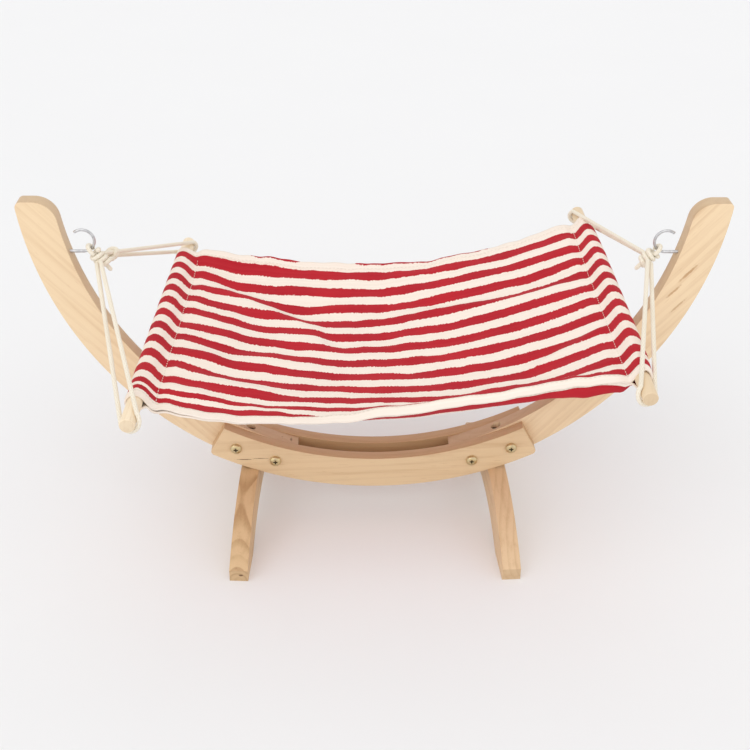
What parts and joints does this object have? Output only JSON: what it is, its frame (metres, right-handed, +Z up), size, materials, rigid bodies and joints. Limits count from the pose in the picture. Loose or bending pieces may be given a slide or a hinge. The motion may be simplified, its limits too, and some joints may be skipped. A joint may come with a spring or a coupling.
{
  "type": "cat hammock",
  "caption": "Free-standing cat hammock: curved wooden arms bolted between rails on arched legs, with a striped canvas bed on dowels, hung by ropes from screw hooks.",
  "frame": {"origin": "on the floor, under the middle of the frame", "axes": "+X to the right along the frame, +Y from the front to the rear, +Z up"},
  "size_m": [0.7356, 0.4202, 0.382],
  "materials": {
    "frame_wood": "satin",
    "dowel_wood": "satin",
    "yellow_zinc": "satin",
    "steel": "satin",
    "canvas": "matte",
    "rope": "matte"
  },
  "bodies": {
    "frame": {"left_arm": "frame_wood", "right_arm": "frame_wood", "front_rail": "frame_wood", "rear_rail": "frame_wood", "left_leg": "frame_wood", "right_leg": "frame_wood", "rail_bolts": "yellow_zinc", "rail_washers": "yellow_zinc", "rail_nuts": "yellow_zinc", "leg_bolts": "steel", "leg_washers": "steel", "leg_nuts": "steel", "left_hook": "steel", "right_hook": "steel"},
    "bed": {"left_dowel": "dowel_wood", "right_dowel": "dowel_wood", "upper_sheet": "canvas", "lower_sheet": "canvas", "left_front_rope": "rope", "left_rear_rope": "rope", "right_front_rope": "rope", "right_rear_rope": "rope", "left_knot": "rope", "right_knot": "rope"}
  },
  "joints": [
    {"name": "bed_swing", "type": "hinge", "parent": "frame", "child": "bed", "pos_m": [0, 0, 0.32675], "axis": [1, 0, 0], "range_deg": [-25, 25]}
  ]
}
